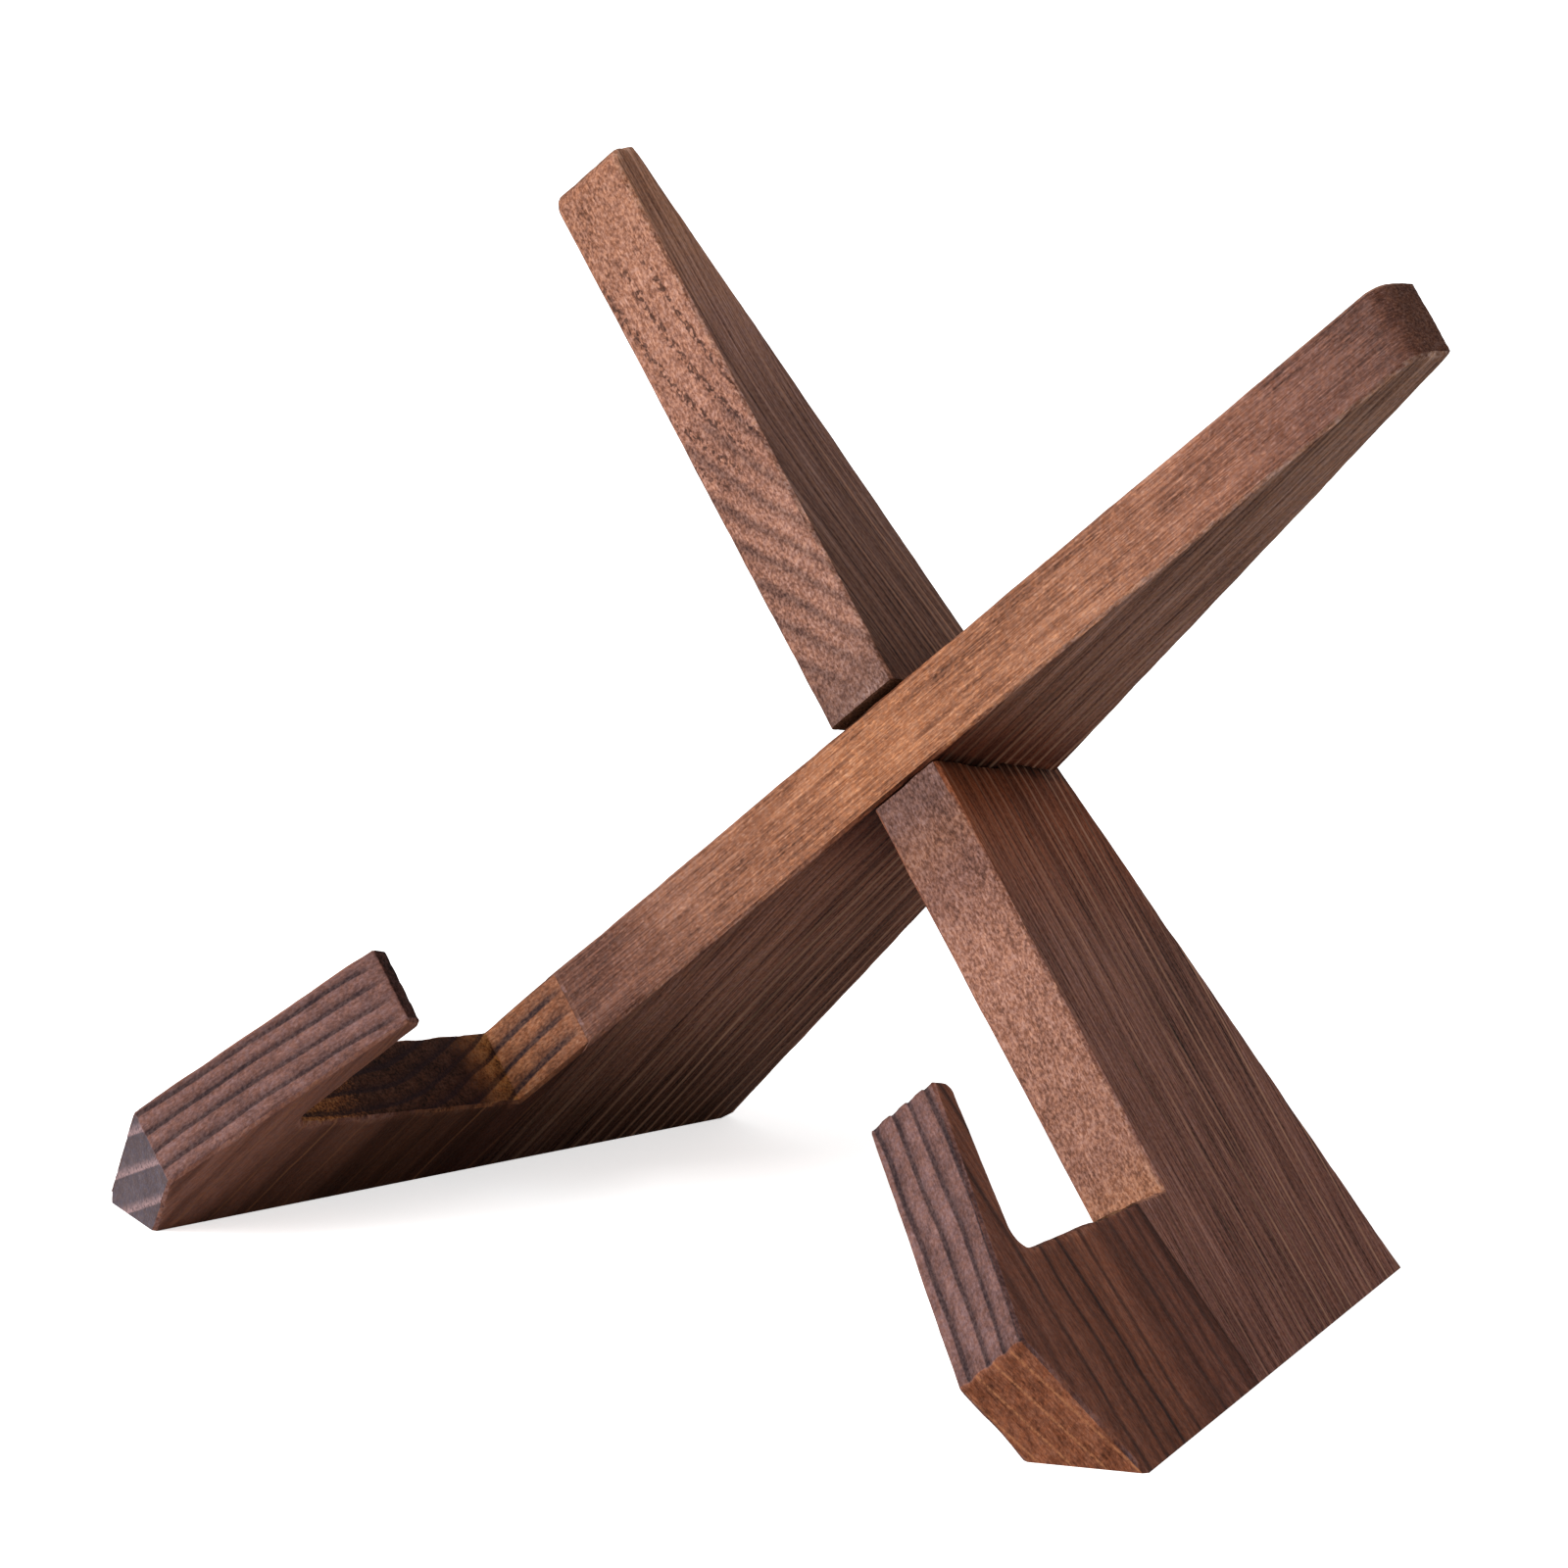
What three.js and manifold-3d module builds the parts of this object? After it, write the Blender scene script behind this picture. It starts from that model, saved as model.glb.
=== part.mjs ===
// Plate display stand: two slotted boards that cross in an X, lean back and stand on their feet.
// Millimetres, +Z up, +X to the right, the side that takes the plate faces -Y.
// The origin is on the ground, under the centre of the stand.

import * as THREE from 'three';
import { mergeVertices } from 'three/addons/utils/BufferGeometryUtils.js';
import Module from 'manifold-3d';

const wasm = await Module();
wasm.setup();

// One board, seen from its side. "Along" runs up the leaning edge from the crossing, "forward" runs
// square to that edge towards the plate, and "across" runs through the board's thickness.
const boardThickness = 20;
const edgeAboveCrossing = 161;
const edgeBelowCrossing = 125.7;
const tipWidth = 11.4;
const ledgeHeight = 27;

// Sizes and angles of the foot with its ledge and hook, of the staves and of the slot. The two boards,
// sawn by hand to one pattern, have each their own.
const boards = {
  left: {
    ledgeDepth: 68.2,
    ledgeAngle: 13.8,
    hookHeight: 41.5,
    hookInnerAngle: 5.2,
    hookTipThickness: 5.9,
    hookOuterEdge: 68.2,
    hookOuterAngle: 12.8,
    toeAngle: 37.5,
    spineWidth: 71,
    slotPlayAbove: 1,
  },
  right: {
    ledgeDepth: 72.9,
    ledgeAngle: 16.2,
    hookHeight: 45.2,
    hookInnerAngle: 10.3,
    hookTipThickness: 7.2,
    hookOuterEdge: 70.1,
    hookOuterAngle: 14.6,
    toeAngle: 31.8,
    spineWidth: 91,
    slotPlayAbove: 1.8,
  },
};

// Angles in degrees: the back edge's taper, the lean back from the upright and each board's turn
const backTaperAngle = 13.1;
const leanBackAngle = 16.3;
const crossTurnAngle = 45;

// Roundings of the profile and the eased arrises of its sides
const tipRadius = 6.5;
const innerCornerRadius = 4;
const foldRadius = 3;
const hookTipInnerRoundingShare = 0.4;
const hookTipOuterRoundingShare = 0.2;
const easedArris = 0.8;
const arcSteps = 6;

// The halving joint and the glue line between the staves
const slotDepthShare = 0.5;
const slotPlay = 0.4;
const seatGap = 0.3;
const glueGap = 0.3;

// How far a cutting block reaches past the board
const overrun = 60;

const stainedPine = new THREE.MeshStandardMaterial({
  name: 'stained_pine',
  color: 0x6f4334,
  roughness: 0.6,
  metalness: 0,
});

const radians = THREE.MathUtils.degToRad;
const footLength = Math.max(boards.left.hookOuterEdge, boards.right.hookOuterEdge);
const boardLength = edgeAboveCrossing + edgeBelowCrossing + footLength;
const crossingHeight =
  ledgeHeight + edgeBelowCrossing * Math.cos(radians(crossTurnAngle)) * Math.cos(radians(leanBackAngle));

// A point at a distance from another, at an angle from the direction along the board
function pointFrom(start, distance, angle) {
  return {
    along: start.along + distance * Math.cos(radians(angle)),
    forward: start.forward + distance * Math.sin(radians(angle)),
  };
}

const edgeTop = { along: edgeAboveCrossing, forward: 0 };
const edgeFoot = { along: -edgeBelowCrossing, forward: 0 };
const tipBack = pointFrom(edgeTop, tipWidth, backTaperAngle - 90);
const widthAtCrossing = tipBack.along * Math.tan(radians(backTaperAngle)) - tipBack.forward;

// One rounded corner of an outline that runs anticlockwise. The arc joins itself to the line before it.
function addRoundedCorner(outline, last, corner, next) {
  const here = new THREE.Vector2(corner.along, corner.forward);
  const back = new THREE.Vector2(last.along, last.forward).sub(here).normalize();
  const ahead = new THREE.Vector2(next.along, next.forward).sub(here).normalize();
  const halfAngle = Math.acos(back.dot(ahead)) / 2;
  const towardsCentre = back.clone().add(ahead).setLength(corner.radius / Math.sin(halfAngle));
  const centre = here.clone().add(towardsCentre);
  const tangent = corner.radius / Math.tan(halfAngle);
  const start = here.clone().addScaledVector(back, tangent);
  const end = here.clone().addScaledVector(ahead, tangent);
  const isHollow = back.cross(ahead) > 0;
  const startAngle = start.clone().sub(centre).angle();
  const endAngle = end.clone().sub(centre).angle();
  outline.absarc(centre.x, centre.y, corner.radius, startAngle, endAngle, isHollow);
}

// The sawn profile of the board with its foot on a given side. The toe and heel run on below the
// ground, which cuts them later.
function boardProfile(side) {
  const board = boards[side];
  const innerTipRadius = board.hookTipThickness * hookTipInnerRoundingShare;
  const outerTipRadius = board.hookTipThickness * hookTipOuterRoundingShare;
  const innerCorner = pointFrom(edgeFoot, board.ledgeDepth, 90 + board.ledgeAngle);
  const hookInner = pointFrom(innerCorner, board.hookHeight, -board.hookInnerAngle);
  const hookOuter = pointFrom(hookInner, board.hookTipThickness, 90);
  const fold = pointFrom(hookOuter, board.hookOuterEdge, 180 - board.hookOuterAngle);
  const toe = pointFrom(fold, boardLength, 180 + board.toeAngle);
  const heel = pointFrom(tipBack, 2 * boardLength, 180 + backTaperAngle);
  const outline = new THREE.Shape();
  outline.moveTo(heel.along, heel.forward);
  outline.lineTo(tipBack.along, tipBack.forward);
  addRoundedCorner(outline, tipBack, { ...edgeTop, radius: tipRadius }, edgeFoot);
  outline.lineTo(edgeFoot.along, edgeFoot.forward);
  addRoundedCorner(outline, edgeFoot, { ...innerCorner, radius: innerCornerRadius }, hookInner);
  addRoundedCorner(outline, innerCorner, { ...hookInner, radius: innerTipRadius }, hookOuter);
  addRoundedCorner(outline, hookInner, { ...hookOuter, radius: outerTipRadius }, fold);
  addRoundedCorner(outline, hookOuter, { ...fold, radius: foldRadius }, toe);
  outline.lineTo(toe.along, toe.forward);
  outline.closePath();
  return outline;
}

// Turns a board into the leaning plane, whose X is level, Y runs up the lean and Z faces forward
function turnOf(side) {
  const turn = side === 'left' ? 90 - crossTurnAngle : 90 + crossTurnAngle;
  const standUp = new THREE.Matrix4().makeRotationX(radians(90));
  return new THREE.Matrix4().makeRotationZ(radians(turn)).multiply(standUp);
}

// Leans that plane back from the upright, with the crossing at its height above the ground
function leanOfPair() {
  const lean = new THREE.Matrix4().makeRotationX(radians(90 - leanBackAngle));
  return lean.setPosition(0, 0, crossingHeight);
}

function solidFrom(geometry) {
  geometry.deleteAttribute('normal');
  geometry.deleteAttribute('uv');
  const merged = mergeVertices(geometry);
  const mesh = new wasm.Mesh({
    numProp: 3,
    vertProperties: new Float32Array(merged.attributes.position.array),
    triVerts: new Uint32Array(merged.index.array),
  });
  return new wasm.Manifold(mesh);
}

function geometryFrom(solid) {
  const mesh = solid.getMesh();
  const geometry = new THREE.BufferGeometry();
  geometry.setAttribute('position', new THREE.BufferAttribute(new Float32Array(mesh.vertProperties), 3));
  geometry.setIndex(new THREE.BufferAttribute(new Uint32Array(mesh.triVerts), 1));
  geometry.computeVertexNormals();
  return geometry;
}

// A block between two corners, then moved by a matrix
function block(low, high, matrix) {
  const size = new THREE.Vector3().subVectors(high, low);
  const middle = new THREE.Vector3().addVectors(low, high).divideScalar(2);
  const geometry = new THREE.BoxGeometry(size.x, size.y, size.z);
  geometry.translate(middle.x, middle.y, middle.z);
  geometry.applyMatrix4(matrix);
  return solidFrom(geometry);
}

// The blank: the profile through the board's thickness, with eased arrises
function blank(side) {
  const geometry = new THREE.ExtrudeGeometry(boardProfile(side), {
    depth: boardThickness - 2 * easedArris,
    curveSegments: arcSteps,
    bevelThickness: easedArris,
    bevelSize: easedArris,
    bevelOffset: -easedArris,
    bevelSegments: 1,
  });
  geometry.translate(0, 0, easedArris - boardThickness / 2);
  return solidFrom(geometry);
}

// All that lies below the ground, in the board's own axes. It leaves the compound bevel of the foot.
function groundUnder(side) {
  const reach = boardLength + overrun;
  const low = new THREE.Vector3(-reach, -reach, -reach);
  const high = new THREE.Vector3(reach, reach, 0);
  const fromGround = leanOfPair().multiply(turnOf(side)).invert();
  return block(low, high, fromGround);
}

// The slot that takes the other board, between planes along that board's sides. It opens forward in
// the right board and backward in the left one.
function slotIn(side, otherSide) {
  const reach = boardLength + overrun;
  const above = boardThickness / 2 + boards[side].slotPlayAbove;
  const below = boardThickness / 2 + slotPlay;
  const bottom = -widthAtCrossing * slotDepthShare;
  const opensForward = side === 'right';
  const low = new THREE.Vector3(-reach, -reach, opensForward ? -above : -below);
  const high = new THREE.Vector3(reach, reach, opensForward ? below : above);
  if (opensForward) {
    low.y = bottom - seatGap;
  } else {
    high.y = bottom;
  }
  return block(low, high, turnOf(side).invert().multiply(turnOf(otherSide)));
}

// All that lies behind the glue line, or all that lies in front of it, along the back edge
function partedAtGlueLine(side, isFront) {
  const reach = boardLength + overrun;
  const glueLine = boards[side].spineWidth;
  const low = new THREE.Vector3(-reach, isFront ? glueLine + glueGap / 2 : -reach, -reach);
  const high = new THREE.Vector3(reach, isFront ? reach : glueLine - glueGap / 2, reach);
  const alongBackEdge = new THREE.Matrix4().makeRotationZ(radians(backTaperAngle));
  return block(low, high, alongBackEdge.setPosition(0, -widthAtCrossing, 0));
}

// The whole board, cut at the foot and slotted
function sawnBoard(side, otherSide) {
  return blank(side).subtract(groundUnder(side)).subtract(slotIn(side, otherSide));
}

// The long stave with the tip, the slot and the heel
function spineStave(side, sawn) {
  const stave = sawn.intersect(partedAtGlueLine(side, false));
  const mesh = new THREE.Mesh(geometryFrom(stave), stainedPine);
  mesh.name = `${side}_board_spine_stave`;
  return mesh;
}

// The short stave with the ledge, the hook and the toe
function hookStave(side, sawn) {
  const stave = sawn.intersect(partedAtGlueLine(side, true));
  const mesh = new THREE.Mesh(geometryFrom(stave), stainedPine);
  mesh.name = `${side}_board_hook_stave`;
  return mesh;
}

function gluedBoard(side, otherSide) {
  const sawn = sawnBoard(side, otherSide);
  const group = new THREE.Group();
  group.name = `${side}_board`;
  group.add(spineStave(side, sawn));
  group.add(hookStave(side, sawn));
  group.applyMatrix4(turnOf(side));
  return group;
}

// The crossed pair, leaning back
function crossedPair() {
  const pair = new THREE.Group();
  pair.add(gluedBoard('left', 'right'));
  pair.add(gluedBoard('right', 'left'));
  pair.applyMatrix4(leanOfPair());
  return pair;
}

// The stand, moved level so that the origin is under its centre
function plateStand() {
  const stand = new THREE.Group();
  stand.name = 'plate_display_stand';
  stand.add(crossedPair());
  stand.updateMatrixWorld(true);
  const centre = new THREE.Box3().setFromObject(stand, true).getCenter(new THREE.Vector3());
  stand.position.set(-centre.x, -centre.y, 0);
  stand.updateMatrixWorld(true);
  return stand;
}

export default plateStand();
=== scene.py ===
# Plate display stand: two slotted boards of stained pine that cross in an X and lean back.
# Each board is two staves glued edge to edge: a long spine stave, and a hook stave with the ledge,
# the hook and the toe. This script dresses the four staves and sets them on a pale floor.
from math import cos, radians, sin, sqrt
from types import SimpleNamespace

import bmesh
import bpy
from mathutils import Matrix, Vector


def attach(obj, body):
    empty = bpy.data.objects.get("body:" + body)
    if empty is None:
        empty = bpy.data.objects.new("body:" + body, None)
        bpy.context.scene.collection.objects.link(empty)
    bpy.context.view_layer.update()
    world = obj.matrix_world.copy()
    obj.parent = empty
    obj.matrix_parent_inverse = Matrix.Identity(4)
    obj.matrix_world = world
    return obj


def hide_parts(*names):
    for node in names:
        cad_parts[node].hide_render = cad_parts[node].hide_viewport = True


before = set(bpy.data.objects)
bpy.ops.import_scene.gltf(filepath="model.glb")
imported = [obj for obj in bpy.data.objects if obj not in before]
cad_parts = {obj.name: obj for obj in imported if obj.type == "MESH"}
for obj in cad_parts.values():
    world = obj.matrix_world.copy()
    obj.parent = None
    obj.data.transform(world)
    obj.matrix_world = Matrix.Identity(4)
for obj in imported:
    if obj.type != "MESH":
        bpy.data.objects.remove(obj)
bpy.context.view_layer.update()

# The pair of boards, in millimetres and degrees
CROSSING = Vector((-1.1088, 32.9859, 112.3107))
LEAN_BACK = 16.3
BACK_TAPER = 13.1
BOARD_THICKNESS = 20.0
WIDTH_AT_CROSSING = 49.17
METRES = 0.001

# What differs between the boards, in millimetres and degrees: the width of the spine stave, how far
# along the hook's fold lies, and the toe's angle
BOARDS = {
    "left": {"spine_width": 71.0, "fold_along": -167.1, "toe_angle": 37.5},
    "right": {"spine_width": 91.0, "fold_along": -169.4, "toe_angle": 31.8},
}

# Kinds of node that are used often, and the setting for a soft step
MATH = "ShaderNodeMath"
VECTOR = "ShaderNodeVectorMath"
RANGE = "ShaderNodeMapRange"
NOISE = "ShaderNodeTexNoise"
MIX = "ShaderNodeMix"
SPLIT = "ShaderNodeSeparateXYZ"
SMOOTH = {"interpolation_type": "SMOOTHSTEP"}


def colour(text):
    """Linear colour from an sRGB hex value, by the curve of the sRGB standard."""
    shares = [int(text[i : i + 2], 16) / 255 for i in (1, 3, 5)]
    linear = [s / 12.92 if s <= 0.04045 else ((s + 0.055) / 1.055) ** 2.4 for s in shares]
    return (*linear, 1.0)


def add(tree, kind, inputs=(), **settings):
    """Adds a node with its settings, and with its values and links by name or in order.

    A node that is given as a value links by its first output.
    """
    made = tree.nodes.new(kind)
    for name, value in settings.items():
        setattr(made, name, value)
    by_key = inputs if isinstance(inputs, dict) else dict(enumerate(inputs))
    for key, value in by_key.items():
        usable = [socket for socket in made.inputs if socket.enabled]
        socket = usable[key] if isinstance(key, int) else next(s for s in usable if s.name == key)
        if isinstance(value, bpy.types.Node):
            value = next(s for s in value.outputs if s.enabled)
        if isinstance(value, bpy.types.NodeSocket):
            tree.links.new(value, socket)
        else:
            socket.default_value = value
    return made


def product(tree, first, *others):
    """Several values multiplied, so that a mark shows only where all of them let it."""
    for other in others:
        first = add(tree, MATH, [first, other], operation="MULTIPLY")
    return first


def board_place(side):
    """From a board's own axes to the stand in metres.

    A board's axes run along, forward and across from the crossing, in millimetres.
    """
    lean = radians(LEAN_BACK)
    level = Vector((1, 0, 0))
    up = Vector((0, sin(lean), cos(lean)))
    forward = Vector((0, -cos(lean), sin(lean)))
    turn = 1 if side == "left" else -1
    along = (turn * level + up) / sqrt(2)
    across = (level - turn * up) / sqrt(2)
    turned = Matrix((along, forward, across)).transposed().to_4x4()
    return Matrix.Scale(METRES, 4) @ Matrix.Translation(CROSSING) @ turned


# Marks in the wood and unevenness of its surface: how large their patches are along, forward and across,
# in millimetres, how much detail they have and how rough it is
MARKS = {
    "fibres": ((25, 5 / 6, 5 / 6), 4.0, 0.7),
    "side fibres": ((40, 5 / 3, 1 / 2), 4.0, 0.75),
    "toe fibres": ((10 / 3, 10 / 3, 10 / 17), 3.0, 0.75),
    "speckle": ((10 / 9, 5 / 8, 5 / 8), 2.0, 0.65),
    "flecks": ((4 / 3, 4 / 3, 4 / 3), 2.0, 0.7),
    "patches": ((50, 100 / 7, 100 / 7), 3.0, 0.5),
    "bands": ((200, 100 / 13, 50), 2.0, 0.5),
    "blotches": ((25 / 3, 10 / 3, 10 / 3), 3.0, 0.6),
    "streaks": ((500 / 3, 10 / 9, 10 / 9), 4.0, 0.65),
    "pores": ((10 / 7, 2, 1), 1.0, 0.5),
    "bared fibres": ((2, 5 / 11, 5 / 11), 1.0, 0.5),
    "ring wander": ((1000 / 9, 100 / 3, 100 / 3), 2.0, 0.5),
    "line wander": ((125, 100 / 3, 100 / 3), 2.0, 0.5),
    "rubbing": ((100 / 11, 100 / 11, 100 / 11), 3.0, 0.5),
    "waves": ((20, 20, 20), 2.0, 0.5),
}

# Where each thing begins and where it ends, then what it is worth at the one and at the other. Where it
# begins and ends is told in the measure that the comment above it names.
SPANS = {
    # The way that a face looks, as the cosine of its angle
    "side": (0.55, 0.85, 0.0, 1.0),
    "far side": (-0.9, -0.6, 1.0, 0.0),
    "end": (0.62, 0.85, 0.0, 1.0),
    "end relief": (0.6, 0.9, 0.0, 1.0),
    "toe": (0.86, 0.98, 0.0, 1.0),
    # How strong a mark is, from 0 to 1
    "fibres": (0.3, 0.7, 0.0, 1.0),
    "side fibres": (0.33, 0.67, 0.0, 1.0),
    "toe fibres": (0.32, 0.68, 0.0, 1.0),
    "speckle": (0.3, 0.7, 0.0, 1.0),
    "flecks": (0.35, 0.65, 0.0, 1.0),
    "patches": (0.3, 0.7, 0.0, 1.0),
    "bands": (0.42, 0.62, 0.0, 1.0),
    "blotches": (0.33, 0.67, 0.0, 1.0),
    "streaks": (0.33, 0.67, 0.0, 1.0),
    "pores": (0.48, 0.55, 0.0, 1.0),
    "bared fibres": (0.56, 0.68, 0.0, 1.0),
    "rubbing": (0.4, 0.66, 0.3, 1.6),
    "waves": (0.35, 0.65, 0.0, 1.0),
    # The same, for fibres, speckle and patches that break up other marks
    "fibres in lines": (0.3, 0.6, 0.5, 1.0),
    "fibres at slot": (0.4, 0.55, 0.0, 1.0),
    "speckle on arris": (0.3, 0.6, 0.4, 1.0),
    "speckle in stripes": (0.3, 0.62, 1.0, 0.8),
    "patches in stripes": (0.2, 0.9, 1.0, 0.85),
    "speckle on ridges": (0.32, 0.6, 0.15, 1.0),
    "sheen": (0.3, 0.7, 0.72, 0.5),
    # Shares of a ring's width, or of the distance between rows of pores
    "soft ring": (0.35, 0.85, 0.0, 1.0),
    "hard ring": (0.88, 1.0, 1.0, 0.0),
    "row of pores": (0.1, 0.24, 1.0, 0.0),
    # Millimetres: from the glue line, above the ground, from the slot's middle, along, across, and how
    # far an arris would sink. The hook's tip is worth millimetres too.
    "free of glue": (0.2, 4.0, 0.0, 1.0),
    "free of ground": (0.1, 3.0, 0.0, 1.0),
    "glue line": (0.1, 0.7, 0.55, 0.0),
    "soaked by glue": (1.0, 6.0, 0.45, 0.0),
    "torn at slot": (10.5, 28.0, 1.0, 0.0),
    # The band of painted shade beside the slot, where the other board meets this one
    "shade at slot": (10.4, 13.0, 1.0, 0.0),
    "pores begin": (66.0, 84.0, 0.0, 1.0),
    "pores end": (128.0, 146.0, 1.0, 0.0),
    "hook's tip": (-118.0, -108.0, 0.0, 20.0),
    # Painted highlight on the arrises, kept mostly to the side at positive across, which faces the camera
    "rubbed and highlit across": (-9.0, 0.0, 0.15, 1.0),
    "arris": (0.03, 0.1, 0.0, 1.0),
    # How far a place is on the far side, which keeps less of its lines
    "lines on far side": (0.0, 1.0, 1.0, 0.4),
}


def mark(tree, place, name):
    """How strong one of the marks in the wood is at a place."""
    size, detail, roughness = MARKS[name]
    scaled = add(tree, VECTOR, [place, tuple(1 / s for s in size)], operation="MULTIPLY")
    return add(tree, NOISE, {"Vector": scaled, "Scale": 1.0, "Detail": detail, "Roughness": roughness})


# Growth of the staves, in millimetres. The pith is the middle of the tree's rings, forward and across
# from the crossing. The fibres climb by a slope, swirl by a height between two places along, and bow
# across, by a curvature and from a place along. Last comes how far apart the rings are.
GRAIN = {
    "left_spine": {"pith": (60.0, -184.0), "slope": 0.15, "swirl": (8.0, -170.0, -30.0),
                   "bow": (0.0, 0.0), "spacing": 1.7},
    "right_spine": {"pith": (113.0, -57.0), "slope": 0.04, "swirl": (24.0, -20.0, 110.0),
                    "bow": (0.0, 0.0), "spacing": 3.0},
    "left_hook": {"pith": (75.0, -97.2), "slope": 0.14, "swirl": (0.0, 0.0, 1.0),
                  "bow": (0.0017, -122.0), "spacing": 4.77},
    "right_hook": {"pith": (75.0, 97.2), "slope": 0.14, "swirl": (0.0, 0.0, 1.0),
                   "bow": (-0.0017, -118.0), "spacing": 4.77},
}
# How far the rings wander, in rings
RING_WANDER = 1.4


def straight_grain(tree, place, grain):
    """The place with its fibres laid straight: along, forward without the climb, across without the bow."""
    along, forward, across = add(tree, SPLIT, [place]).outputs[:3]
    height, start, end = grain["swirl"]
    swirl = add(tree, RANGE, [along, start, end, 0.0, height], **SMOOTH)
    climb = add(tree, MATH, [along, grain["slope"], swirl], operation="MULTIPLY_ADD")
    level = add(tree, MATH, [forward, climb], operation="SUBTRACT")
    curvature, bow_from = grain["bow"]
    offset = add(tree, MATH, [along, bow_from], operation="SUBTRACT")
    square = add(tree, MATH, [offset, offset], operation="MULTIPLY")
    bowed = add(tree, MATH, [square, -curvature, across], operation="MULTIPLY_ADD")
    return add(tree, "ShaderNodeCombineXYZ", [along, level, bowed])


def ring_count(tree, straight, grain):
    """How many growth rings a place lies from the pith. The rings wander a little."""
    from_pith = add(tree, VECTOR, [straight, (0, *grain["pith"])], operation="SUBTRACT")
    section = add(tree, VECTOR, [from_pith, (0, 1, 1)], operation="MULTIPLY")
    distance = add(tree, VECTOR, [section], operation="LENGTH").outputs["Value"]
    even = add(tree, MATH, [distance, 1 / grain["spacing"]], operation="MULTIPLY")
    wander = add(tree, MATH, [mark(tree, straight, "ring wander"), RING_WANDER], operation="MULTIPLY")
    return add(tree, MATH, [even, wander], operation="ADD")


# The ridges that hard rings leave across the toe, in millimetres: how far apart, how far in the first
# is, how they slant, how softly each rises and how sharply it falls, and its colour
TOE_RIDGES = {
    "left": {"apart": 8.9, "first": 5.3, "slant": 0.44, "rise": 2.6, "fall": 0.5, "colour": "#b69494"},
    "right": {"apart": 5.0, "first": 0.6, "slant": -0.09, "rise": 0.5, "fall": 0.5, "colour": "#d08a60"},
}


def toe_ridge(tree, side, along, across):
    """How far up one of the toe's ridges a place is, from 0 to 1."""
    ridge = TOE_RIDGES[side]
    half = ridge["apart"] / 2
    slant = ridge["slant"] / cos(radians(BOARDS[side]["toe_angle"]))
    below_fold = add(tree, MATH, [BOARDS[side]["fold_along"], along], operation="SUBTRACT")
    slanted = add(tree, MATH, [below_fold, slant, across], operation="MULTIPLY_ADD")
    from_first = add(tree, MATH, [slanted, BOARD_THICKNESS / 2 - ridge["first"]], operation="ADD")
    past = add(tree, MATH, [from_first, half, -half], operation="WRAP")
    risen = add(tree, RANGE, [past, -ridge["rise"], 0.0], **SMOOTH)
    fallen = add(tree, RANGE, [past, 0.0, ridge["fall"], 1.0, 0.0], **SMOOTH)
    return product(tree, risen, fallen)


def faces_toe(tree, side, facing):
    """Whether a surface that faces this way is the toe's, from 0 to 1."""
    toe = radians(BOARDS[side]["toe_angle"])
    to_toe = add(tree, VECTOR, [facing, (-sin(toe), cos(toe), 0)], operation="DOT_PRODUCT")
    return add(tree, RANGE, [to_toe.outputs["Value"], *SPANS["toe"]], **SMOOTH)


def above_ground(tree, side, place):
    """How high a place is above the ground, in millimetres."""
    up = board_place(side).to_3x3().normalized().transposed() @ Vector((0, 0, 1))
    height = add(tree, VECTOR, [place, up], operation="DOT_PRODUCT")
    return add(tree, MATH, [height.outputs["Value"], CROSSING.z], operation="ADD")


def glue_line(side):
    """The direction out of the spine stave's glued face, and how far out that face lies, in millimetres."""
    taper = radians(BACK_TAPER)
    out = Vector((-sin(taper), cos(taper), 0))
    return out, BOARDS[side]["spine_width"] - WIDTH_AT_CROSSING * cos(taper)


def from_glue_line(tree, side, place):
    """How far a place is in front of the glue line between the staves, in millimetres."""
    out, reach = glue_line(side)
    distance = add(tree, VECTOR, [place, out], operation="DOT_PRODUCT")
    return add(tree, MATH, [distance.outputs["Value"], reach], operation="SUBTRACT")


# How finely the faces are cut up before they are worn, in millimetres: forward, across and along
FORWARD_STEP, ACROSS_STEP, ALONG_STEP = 1.0, 1.0, 2.0
# Half of the seam that shows between the glued staves, and how near the glue line a glued face lies
SEAM, GLUED = 0.03, 0.2
# How near points are to be one, and how near a cut they are to lie on it, in millimetres
SAME_POINT, ON_CUT = 0.001, 0.02
# How little faces turn from each other to be one
SAME_FACE = radians(0.5)
# Corners of the left foot that are knocked off: the corner, then three places that the break runs through
KNOCKED_OFF = {
    "left_hook": ((-199.4, 57.7, -10.0), (-195.8, 60.5, -10.0), (-197.9, 58.9, -8.0), (-198.5, 55.5, -10.0)),
    "left_spine": ((-123.5, -77.4, 10.0), (-121.8, -77.0, 10.0), (-124.4, -75.2, 10.0), (-127.0, -78.2, 6.2)),
}


def cut(work, point, normal, **sides):
    """Cuts the faces along a plane and gives the new rim."""
    everything = work.verts[:] + work.edges[:] + work.faces[:]
    done = bmesh.ops.bisect_plane(work, geom=everything, dist=ON_CUT, plane_co=point, plane_no=normal,
                                  **sides)
    return [edge for edge in done["geom_cut"] if isinstance(edge, bmesh.types.BMEdge)]


def knock_off(work, corner, *breaks):
    """Breaks a corner off and closes the stave again."""
    normal = (breaks[1] - breaks[0]).cross(breaks[2] - breaks[0]).normalized()
    if normal.dot(corner - breaks[0]) < 0:
        normal.negate()
    rim = cut(work, breaks[0], normal, clear_outer=True)
    bmesh.ops.edgeloop_fill(work, edges=rim)
    bmesh.ops.recalc_face_normals(work, faces=work.faces)


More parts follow.
